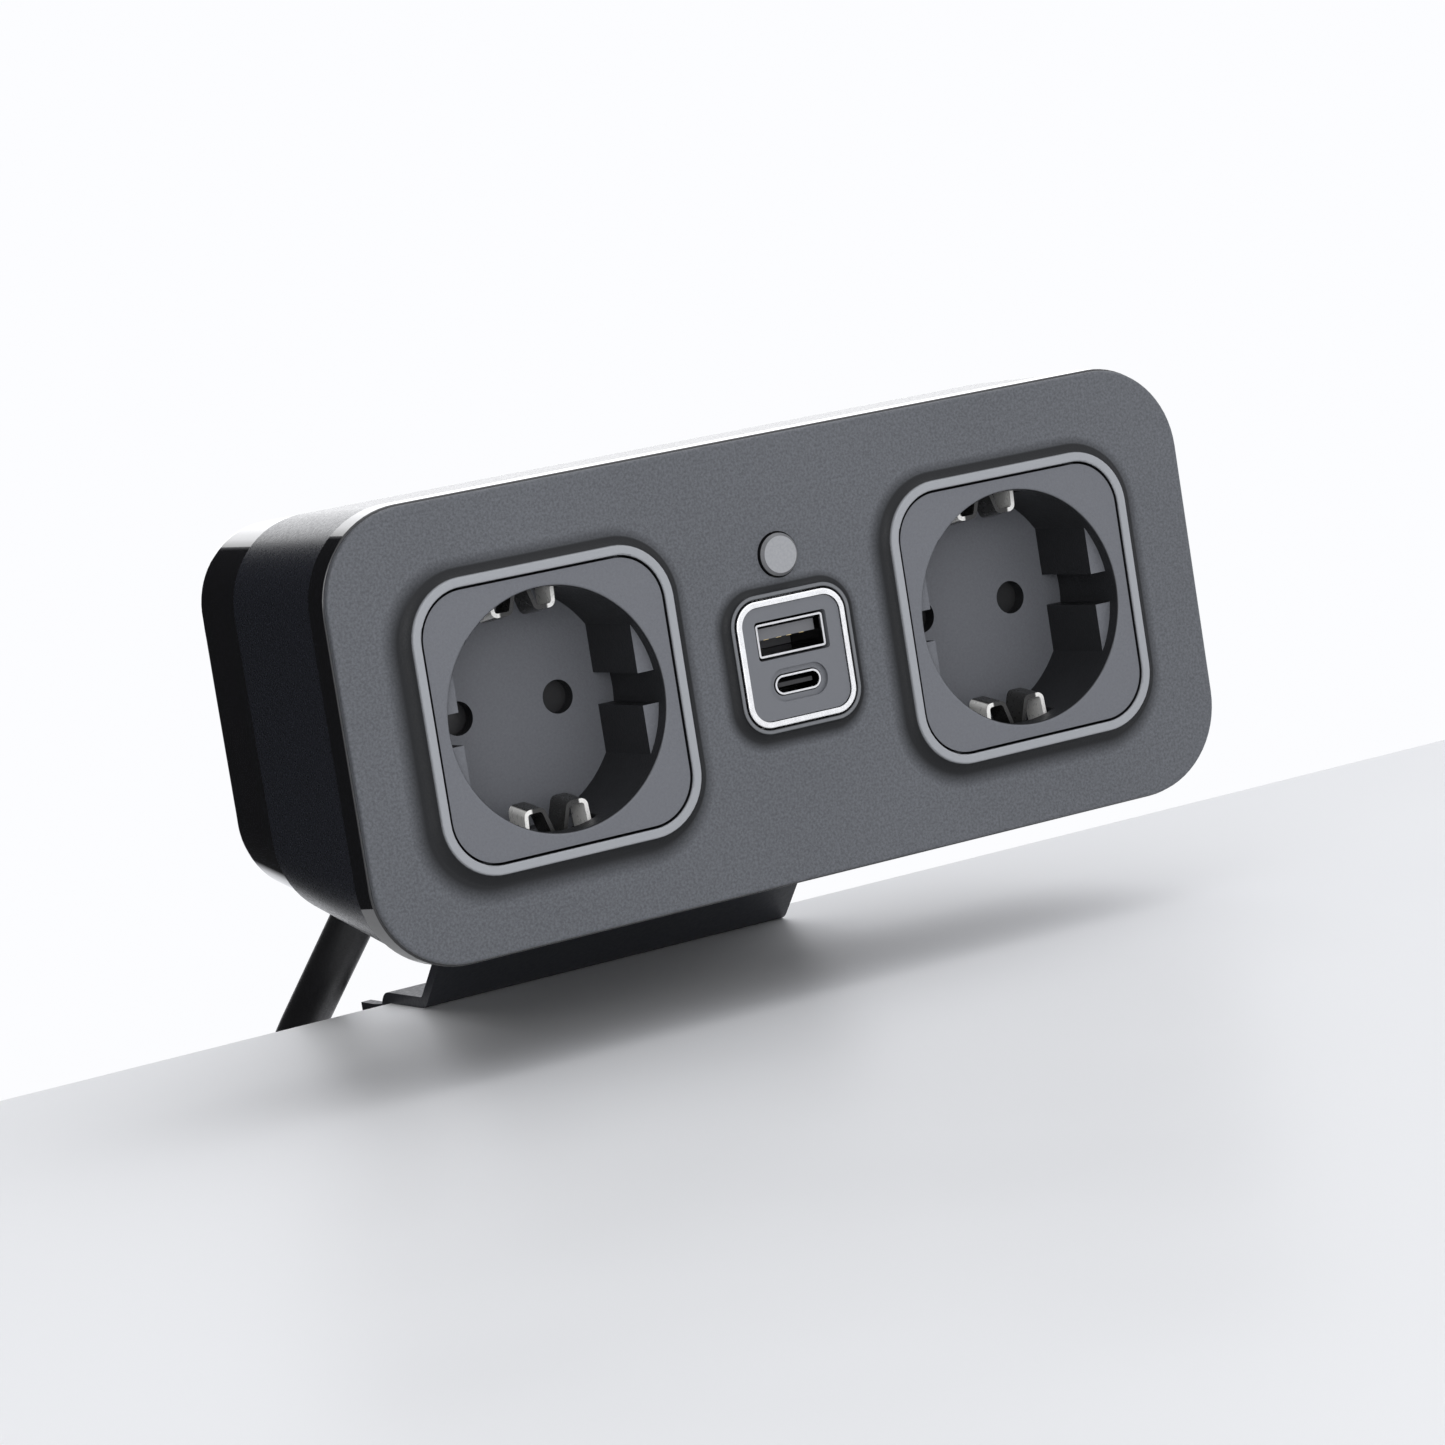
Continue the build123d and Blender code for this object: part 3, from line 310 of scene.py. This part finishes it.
def satin_moulding(name, colour, roughness, ripple=0.01 * MM):
    """Moulded plastic of any colour with a soft sheen and a faint ripple of the given depth."""
    material, nodes, links, shader, place = new_material(name, colour, roughness)
    grain = noise(nodes, links, place, 1800.0, 2.0)
    links.new(ramp(nodes, links, grain, 0.3, 0.7, roughness - 0.05, roughness + 0.06), shader.inputs["Roughness"])
    bump(nodes, links, shader, grain, ripple)
    return material


def polished_black(name, colour):
    """Piano black: a clear, sharp gloss with very faint waviness and a trace of dust."""
    material, nodes, links, shader, place = new_material(name, colour, 0.06)
    shader.inputs["Coat Weight"].default_value = 0.6
    shader.inputs["Coat Roughness"].default_value = 0.03
    dust = noise(nodes, links, place, 900.0, 3.0)
    links.new(ramp(nodes, links, dust, 0.55, 0.8, 0.05, 0.16), shader.inputs["Roughness"])
    wave = noise(nodes, links, place, 60.0, 1.0)
    bump(nodes, links, shader, wave, 0.02 * MM, 0.4)
    return material


def button_plastic():
    """A pale grey cap with a fine grain, and painted shade that darkens its sides."""
    pale = (0.295, 0.3, 0.31)
    material, nodes, links, shader, place = new_material("button cap", pale, 0.35)
    grain = noise(nodes, links, place, 2200.0, 2.0)
    tint = blend(nodes, links, grain, shade(pale, 0.85), shade(pale, 1.15))
    # Painted shade: the sides that do not face the front are nearly black.
    tint = blend(nodes, links, facing_front(nodes, links), (0.01, 0.01, 0.011), tint)
    links.new(tint, shader.inputs["Base Color"])
    bump(nodes, links, shader, grain, 0.01 * MM)
    return material


def spring_metal():
    """Nickel plated strip whose colour carries painted light: a painted highlight on its outer legs where they face the
    front left, and painted shade on its arches and on faces turned away. The distance from the socket's middle tells
    them apart: |wrap(x + SOCKET_X, -SOCKET_X, SOCKET_X)|."""
    bright = (0.98, 0.97, 0.93)
    dark = shade(bright, SPRING_ARCH)
    front_left = (-0.8, -0.6, 0)
    material, nodes, links, shader, place = new_material("nickel spring", bright, 0.3, 0.15)
    # Painted highlight where the surface faces the front left, painted shade elsewhere.
    side = nodes.new("ShaderNodeVectorMath")
    side.operation = "DOT_PRODUCT"
    side.inputs[1].default_value = front_left
    links.new(nodes.new("ShaderNodeTexCoord").outputs["Normal"], side.inputs[0])
    painted_highlight_side = ramp(nodes, links, side.outputs["Value"], 0.4, 0.55, 0.0, 1.0)
    split = nodes.new("ShaderNodeSeparateXYZ")
    links.new(place, split.inputs["Vector"])
    value = split.outputs["X"]
    for operation, amounts in (("ADD", (SOCKET_X,)), ("WRAP", (SOCKET_X, -SOCKET_X)), ("ABSOLUTE", ())):
        node = nodes.new("ShaderNodeMath")
        node.operation = operation
        links.new(value, node.inputs[0])
        for slot, amount in enumerate(amounts, 1):
            node.inputs[slot].default_value = amount
        value = node.outputs["Value"]
    leg = ramp(nodes, links, value, *SPRING_LEG, 0.0, 1.0)
    line = noise(nodes, links, place, 1500.0, 2.0)
    tint = blend(nodes, links, line, shade(bright, 0.92), bright)
    # Painted shade on the arches, painted highlight on the outer legs.
    tint = blend(nodes, links, leg, dark, tint)
    links.new(blend(nodes, links, painted_highlight_side, dark, tint), shader.inputs["Base Color"])
    links.new(ramp(nodes, links, line, 0.3, 0.7, 0.25, 0.36), shader.inputs["Roughness"])
    return material


def bright_metal(name, colour, roughness, mouth=None):
    """Plated metal with a faint, uneven lustre, and painted shade deeper inside than the mouth, if that is given."""
    material, nodes, links, shader, place = new_material(name, colour, roughness, 1.0)
    lustre = noise(nodes, links, place, 900.0, 3.0, 0.6)
    tint = blend(nodes, links, lustre, shade(colour, 0.85), shade(colour, 1.05))
    # Painted shade: the plating is darkened deeper inside than the mouth.
    if mouth is not None:
        split = nodes.new("ShaderNodeSeparateXYZ")
        links.new(place, split.inputs["Vector"])
        depth = ramp(nodes, links, split.outputs["Y"], *mouth, 0.0, 1.0)
        tint = blend(nodes, links, depth, tint, shade(colour, INSIDE_SHELL))
    links.new(tint, shader.inputs["Base Color"])
    links.new(ramp(nodes, links, lustre, 0.3, 0.7, roughness * 0.8, roughness * 1.3), shader.inputs["Roughness"])
    bump(nodes, links, shader, lustre, 0.006 * MM)
    return material


def powder_coat(colour):
    """Dark powder coat: a fine orange-peel surface with a soft gloss."""
    material, nodes, links, shader, place = new_material("powder coat", colour, 0.38)
    peel = noise(nodes, links, place, 1400.0, 2.0)
    speck = noise(nodes, links, place, 5000.0, 1.0)
    tint = blend(nodes, links, speck, shade(colour, 0.8), shade(colour, 1.3))
    links.new(tint, shader.inputs["Base Color"])
    links.new(ramp(nodes, links, peel, 0.3, 0.7, 0.3, 0.46), shader.inputs["Roughness"])
    bump(nodes, links, shader, peel, 0.04 * MM)
    return material


def rubber(name, colour, roughness=0.6):
    """Matt rubber or soft cable sheath with a slight bloom."""
    material, nodes, links, shader, place = new_material(name, colour, roughness)
    bloom = noise(nodes, links, place, 140.0, 3.0)
    skin = noise(nodes, links, place, 2600.0, 2.0)
    links.new(blend(nodes, links, bloom, shade(colour, 0.85), shade(colour, 1.35)), shader.inputs["Base Color"])
    links.new(ramp(nodes, links, skin, 0.3, 0.7, roughness - 0.08, roughness + 0.08), shader.inputs["Roughness"])
    bump(nodes, links, shader, skin, 0.02 * MM)
    return material


def circuit_board():
    """Green solder mask with paler copper tracks showing through."""
    mask, copper = (0.01, 0.12, 0.05), (0.04, 0.26, 0.1)
    material, nodes, links, shader, place = new_material("circuit board", mask, 0.3)
    track = nodes.new("ShaderNodeTexVoronoi")
    track.feature = "DISTANCE_TO_EDGE"
    track.inputs["Scale"].default_value = 350.0
    links.new(place, track.inputs["Vector"])
    line = ramp(nodes, links, track.outputs["Distance"], 0.04, 0.08, 1.0, 0.0)
    links.new(blend(nodes, links, line, mask, copper), shader.inputs["Base Color"])
    return material


def dress(material, *names):
    """Gives the hub's own pieces a finish."""
    for name in names:
        mesh = hub_node(name).data
        mesh.materials.clear()
        mesh.materials.append(material)


# Pieces


class HUB_OT_housing(bpy.types.Operator):
    """Finish the panel, the gloss band, the housing and its rear shell"""

    bl_idname = "hub.housing"
    bl_label = "Housing"

    def execute(self, context):
        colours = context.scene.hub_colours
        dress(textured_panel(colours), "front_panel")
        dress(satin_moulding("satin housing", colours.housing, 0.28, 0.0025 * MM), "main_housing")
        dress(polished_black("polished band", colours.gloss), "trim_band", "rear_shell")
        dress(bright_metal("zinc screws", (0.6, 0.6, 0.62), 0.35), "case_screws")
        return {"FINISHED"}


class HUB_OT_sockets(bpy.types.Operator):
    """Finish the socket inserts, their earth springs and the contact bars behind them"""

    bl_idname = "hub.sockets"
    bl_label = "Sockets"

    def execute(self, context):
        colours = context.scene.hub_colours
        dress(rough_insert(colours), "socket_insert_left", "socket_insert_right")
        dress(spring_metal(), "earth_clip_left", "earth_clip_right")
        dress(bright_metal("stamped brass", (0.75, 0.55, 0.24), 0.3), "live_bar", "neutral_bar", "earth_bar")
        dress(satin_moulding("terminal housing", (0.6, 0.6, 0.58), 0.45), "terminal_block")
        dress(satin_moulding("pin shutters", (0.008, 0.008, 0.009), 0.5), "pin_shutters_left", "pin_shutters_right")
        return {"FINISHED"}


class HUB_OT_usb(bpy.types.Operator):
    """Finish the USB module and what is inside it"""

    bl_idname = "hub.usb"
    bl_label = "USB module"

    def execute(self, context):
        dress(bright_metal("silver ring", (0.97, 0.97, 0.97), 0.26), "usb_bezel")
        dress(satin_moulding("usb face", (0.135, 0.14, 0.152), 0.42), "usb_face")
        dress(satin_moulding("usb case", (0.02, 0.02, 0.022), 0.5), "usb_case", "usb_c_blade", "push_switch")
        dress(bright_metal("plated shell", (0.84, 0.84, 0.85), 0.2, mouth=SHELL_MOUTH), "usb_a_shell", "usb_c_shell")
        dress(satin_moulding("grey tongue", (0.14, 0.142, 0.15), 0.45), "usb_a_tongue")
        dress(bright_metal("gold contacts", (0.95, 0.75, 0.36), 0.25), "usb_a_contacts")
        dress(circuit_board(), "usb_board")
        dress(satin_moulding("yellow tape", (0.7, 0.5, 0.1), 0.4), "transformer")
        dress(bright_metal("can aluminium", (0.8, 0.8, 0.82), 0.3), "capacitors")
        return {"FINISHED"}


class HUB_OT_button(bpy.types.Operator):
    """Finish the push button, its guide and its spring"""

    bl_idname = "hub.button"
    bl_label = "Push button"

    def execute(self, context):
        dress(button_plastic(), "button_cap")
        dress(satin_moulding("button guide", (0.02, 0.02, 0.02), 0.5), "button_guide")
        dress(bright_metal("spring wire", (0.7, 0.7, 0.72), 0.25), "button_spring")
        return {"FINISHED"}


class HUB_OT_clamp(bpy.types.Operator):
    """Finish the bracket, the sliding jaw and their screws"""

    bl_idname = "hub.clamp"
    bl_label = "Desk clamp"

    def execute(self, context):
        dress(powder_coat((0.028, 0.03, 0.036)), "bracket", "lower_jaw")
        dress(rubber("jaw rubber", (0.02, 0.02, 0.02), 0.7), "jaw_pad_left", "jaw_pad_right")
        black = bright_metal("black steel", (0.06, 0.06, 0.065), 0.35)
        dress(black, "bracket_screws", "clamp_screw_left", "clamp_screw_right")
        dress(bright_metal("washer steel", (0.6, 0.6, 0.62), 0.3), "clamp_washer_left", "clamp_washer_right")
        return {"FINISHED"}


def smooth_step(value, start, end):
    """0 before start, 1 after end, and 3 s^2 - 2 s^3 of the way between them."""
    s = np.clip((value - start) / (end - start), 0, 1)
    return s * s * (3 - 2 * s)


def coil_points(sizes, entry):
    """Points of the coil's turns: y and z go round a circle from the entry at its rear, its radius swells from the
    inner to the outer layer halfway through, and x steps one pitch sideways once a turn, first out and then back.
    Each step takes the part of its turn that is given here."""
    per_turn = 24
    inwards, sideways, outwards, back_again = (0, 0.2), (0.35, 0.5), (0.2, 0.35), (0.08, 0.2)
    turn = np.arange(1, sizes.turns * per_turn + 1) / per_turn
    half, pitch = sizes.turns // 2, sizes.pitch
    column = sum(smooth_step(turn, k + sideways[0], k + sideways[1]) for k in range(half))
    column = column - sum(smooth_step(turn, k + back_again[0], k + back_again[1]) for k in range(half + 1, sizes.turns))
    layer = 1 - smooth_step(turn, *inwards) + smooth_step(turn, half + outwards[0], half + outwards[1])
    radius = sizes.coil_radius + (layer - 0.5) * pitch
    centre_y = entry[1] - sizes.coil_radius - pitch / 2
    angle = 2 * np.pi * turn
    x = entry[0] - column * pitch
    return np.stack([x, centre_y + radius * np.cos(angle), entry[2] - radius * np.sin(angle)], axis=1)


def route_curve(name, points, diameter, material):
    """One open spline that follows the points, with a round section."""
    curve = bpy.data.curves.new(name, "CURVE")
    curve.dimensions = "3D"
    curve.bevel_depth = diameter / 2
    curve.bevel_resolution = 6
    curve.use_fill_caps = True
    spline = curve.splines.new("NURBS")
    spline.points.add(len(points) - 1)
    spline.points.foreach_set("co", np.hstack([points, np.ones((len(points), 1))]).ravel())
    spline.order_u = 3
    spline.use_endpoint_u = True
    spline.resolution_u = 6
    curve.materials.append(material)
    piece = bpy.data.objects.new(name, curve)
    bpy.context.scene.collection.objects.link(piece)
    return piece


class HUB_OT_cable(bpy.types.Operator):
    """Lay the mains cable: over the desk's edge, six turns in a tied coil, and a short tail to the plug"""

    bl_idname = "hub.cable"
    bl_label = "Mains cable"

    def execute(self, context):
        sizes = context.scene.hub_cable
        route = np.array(CABLE_ROUTE) * MM
        coil = coil_points(sizes, route[-1])
        tail_end = coil[-1] - (0, 0, sizes.tail)
        points = np.vstack([route, coil, [coil[-1] - (0, 0, sizes.tail / 2), tail_end]])
        sheath = rubber("cable sheath", (0.01, 0.01, 0.011), 0.5)
        cable = route_curve("mains_lead", points, sizes.diameter, sheath)
        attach(cable, "hub")
        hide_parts("mains_cable", "cable_coil", "cable_tail")
        dress(sheath, "strain_relief", "plug_boot")
        dress(satin_moulding("cable tie nylon", (0.02, 0.02, 0.02), 0.45), "cable_tie")
        dress(satin_moulding("plug moulding", (0.018, 0.018, 0.02), 0.35), "plug_body")
        dress(bright_metal("plug nickel", (0.84, 0.83, 0.8), 0.2), "plug_pins", "plug_earth_strips")
        return {"FINISHED"}


# Stage


def desk_material(colour):
    """Pale desk top with a satin surface."""
    material, nodes, links, shader, place = new_material("desk top", colour, 0.42)
    haze = noise(nodes, links, place, 9.0, 2.0)
    links.new(blend(nodes, links, haze, shade(colour, 0.98), shade(colour, 1.02)), shader.inputs["Base Color"])
    links.new(ramp(nodes, links, haze, 0.3, 0.7, 0.38, 0.46), shader.inputs["Roughness"])
    return material


def desk_slab(sizes):
    """The desk top: a slab with small quarter rounds, back - r + r sin(turn) and -r + r cos(turn), along its rear
    edge above and below, as a profile carried along X."""
    r = 1.0 * MM
    turn = np.linspace(0, np.pi / 2, 7)
    back, low = sizes.rear_edge, -sizes.thickness
    upper = np.stack([back - r + r * np.sin(turn), -r + r * np.cos(turn)], axis=1)
    lower = np.stack([back - r + r * np.cos(turn), low + r - r * np.sin(turn)], axis=1)
    front = np.array([[back - sizes.depth, low], [back - sizes.depth, 0.0]])
    ring = np.vstack([upper, lower, front])
    count = len(ring)
    x = np.array([-sizes.half_width, sizes.half_width])
    points = np.concatenate([np.column_stack([np.full(count, side), ring]) for side in x])
    step = np.arange(count)
    sides = np.stack([step, np.roll(step, -1), np.roll(step, -1) + count, step + count], axis=1)
    faces = [tuple(face) for face in sides.tolist()]
    faces += [tuple(range(count - 1, -1, -1)), tuple(range(count, 2 * count))]
    mesh = bpy.data.meshes.new("desk")
    mesh.from_pydata(points.tolist(), [], faces)
    mesh.update()
    desk = bpy.data.objects.new("desk", mesh)
    bpy.context.scene.collection.objects.link(desk)
    return desk


def area_light(name, place, aim, size, power):
    """A soft lamp at a place, turned to face a point."""
    light = bpy.data.lights.new(name, "AREA")
    light.shape = "RECTANGLE"
    light.size, light.size_y = size
    light.energy = power
    lamp = bpy.data.objects.new(name, light)
    lamp.location = place
    lamp.rotation_euler = (Vector(aim) - Vector(place)).to_track_quat("-Z", "Y").to_euler()
    bpy.context.scene.collection.objects.link(lamp)
    return lamp


def window_sheen():
    """A tall window behind and to the right, which only shows as sheen in the hub's smooth black pieces."""
    window = area_light(*WINDOW)
    window.visible_diffuse = False
    window.visible_camera = False
    blacks = bpy.data.collections.new("smooth blacks")
    for name in SMOOTH_BLACKS:
        blacks.objects.link(hub_node(name))
    window.light_linking.receiver_collection = blacks


def studio_world():
    """The camera sees plain white. The hub stands in a studio with a white wall behind and to the right, which ends
    almost straight behind it. The side left of that is dark, and the whole front is one soft light."""
    world = bpy.data.worlds.new("studio")
    bpy.context.scene.world = world
    world.use_nodes = True
    nodes, links = world.node_tree.nodes, world.node_tree.links
    nodes.clear()
    out = nodes.new("ShaderNodeOutputWorld")
    studio, white = nodes.new("ShaderNodeBackground"), nodes.new("ShaderNodeBackground")
    towards = nodes.new("ShaderNodeTexCoord").outputs["Generated"]
    wall = nodes.new("ShaderNodeVectorMath")
    wall.operation = "DOT_PRODUCT"
    wall.inputs[1].default_value = (math.cos(WALL_END), math.sin(WALL_END), 0)
    links.new(towards, wall.inputs[0])
    split = nodes.new("ShaderNodeSeparateXYZ")
    links.new(towards, split.inputs["Vector"])
    across = ramp(nodes, links, wall.outputs["Value"], *WALL_EDGE, DARK_SIDE, 1.0)
    level = nodes.new("ShaderNodeMix")
    level.data_type = "FLOAT"
    level.inputs["B"].default_value = SOFT_FRONT
    links.new(ramp(nodes, links, split.outputs["Y"], *FRONT_EDGE, 0.0, 1.0), level.inputs["Factor"])
    links.new(across, level.inputs["A"])
    studio.inputs["Color"].default_value = (0.95, 0.96, 1.0, 1)
    links.new(level.outputs["Result"], studio.inputs["Strength"])
    white.inputs["Color"].default_value = (0.975, 0.98, 1.0, 1)
    white.inputs["Strength"].default_value = 1.0
    ray = nodes.new("ShaderNodeLightPath")
    seen = nodes.new("ShaderNodeMath")
    seen.operation = "MAXIMUM"
    links.new(ray.outputs["Is Camera Ray"], seen.inputs[0])
    links.new(ray.outputs["Is Transmission Ray"], seen.inputs[1])
    mix = nodes.new("ShaderNodeMixShader")
    links.new(seen.outputs["Value"], mix.inputs["Fac"])
    links.new(studio.outputs["Background"], mix.inputs[1])
    links.new(white.outputs["Background"], mix.inputs[2])
    links.new(mix.outputs["Shader"], out.inputs["Surface"])


def photo_camera():
    """The photograph's viewpoint: above and to the left of the hub, tilted."""
    data = bpy.data.cameras.new("camera")
    data.lens = CAMERA_LENS
    data.sensor_width = CAMERA_FRAME
    data.clip_start = 0.01
    camera = bpy.data.objects.new("camera", data)
    camera.location = CAMERA_PLACE
    camera.rotation_euler = tuple(math.radians(angle) for angle in CAMERA_TURN)
    bpy.context.scene.collection.objects.link(camera)
    bpy.context.scene.camera = camera


class HUB_OT_stage(bpy.types.Operator):
    """Set the desk, the lamps, the white background and the camera"""

    bl_idname = "hub.stage"
    bl_label = "Desk and light"

    def execute(self, context):
        desk = desk_slab(context.scene.hub_desk)
        desk.data.materials.append(desk_material(context.scene.hub_desk.colour))
        for lamp in LAMPS:
            area_light(*lamp)
        window_sheen()
        studio_world()
        photo_camera()
        context.scene.view_settings.view_transform = "Standard"
        return {"FINISHED"}


class HUB_PT_panel(bpy.types.Panel):
    """Lists the hub's colours and sizes and its pieces"""

    bl_idname = "HUB_PT_panel"
    bl_label = TAB
    bl_space_type = "VIEW_3D"
    bl_region_type = "UI"
    bl_category = TAB

    def draw(self, context):
        layout = self.layout
        for group in (context.scene.hub_colours, context.scene.hub_cable, context.scene.hub_desk):
            for key in group.bl_rna.properties.keys():
                if key not in ("rna_type", "name"):
                    layout.prop(group, key)
        for piece in PIECES:
            layout.operator(piece.bl_idname)


PIECES = (HUB_OT_housing, HUB_OT_sockets, HUB_OT_usb, HUB_OT_button, HUB_OT_clamp, HUB_OT_cable, HUB_OT_stage)
CLASSES = (HubColours, CableSizes, DeskSizes, *PIECES, HUB_PT_panel)
GROUPS = (("hub_colours", HubColours), ("hub_cable", CableSizes), ("hub_desk", DeskSizes))


def register():
    for cls in CLASSES:
        bpy.utils.register_class(cls)
    for name, group in GROUPS:
        setattr(bpy.types.Scene, name, bpy.props.PointerProperty(type=group))


def unregister():
    for name, _ in GROUPS:
        delattr(bpy.types.Scene, name)
    for cls in reversed(CLASSES):
        bpy.utils.unregister_class(cls)


def main():
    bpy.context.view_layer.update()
    register()
    bpy.ops.hub.housing()
    bpy.ops.hub.sockets()
    bpy.ops.hub.usb()
    bpy.ops.hub.button()
    bpy.ops.hub.clamp()
    bpy.ops.hub.cable()
    bpy.ops.hub.stage()


if __name__ == "__main__":
    main()
